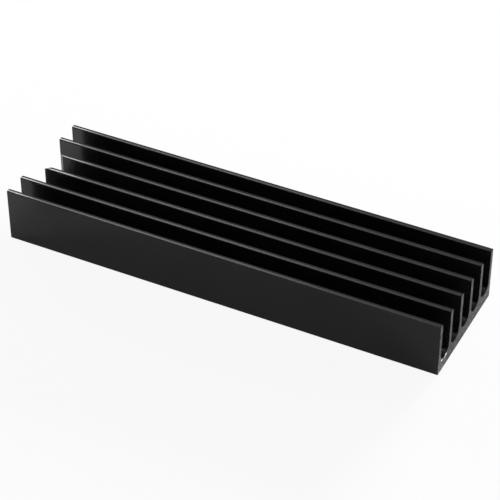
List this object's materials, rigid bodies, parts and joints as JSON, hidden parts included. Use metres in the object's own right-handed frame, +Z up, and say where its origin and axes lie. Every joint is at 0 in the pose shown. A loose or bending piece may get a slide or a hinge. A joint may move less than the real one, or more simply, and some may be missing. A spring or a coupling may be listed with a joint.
{
  "type": "ssd heat sink",
  "caption": "Flat bar of black anodised aluminium with thin upright fins along its length and a round-bottomed screw notch in one end, for cooling a stick-shaped drive.",
  "frame": {"origin": "middle of the footprint, on the flat underside that lies on the drive", "axes": "+X along the fins, away from the end with the screw notch; +Y across the fins; +Z up, out of the base towards the fin tips"},
  "size_m": [0.08, 0.0226, 0.01],
  "materials": {
    "anodised_aluminium": "extruded and black anodised, satin; sawn ends a little lighter and rougher"
  },
  "bodies": {
    "root": {"heat_sink": "anodised_aluminium"}
  },
  "joints": []
}
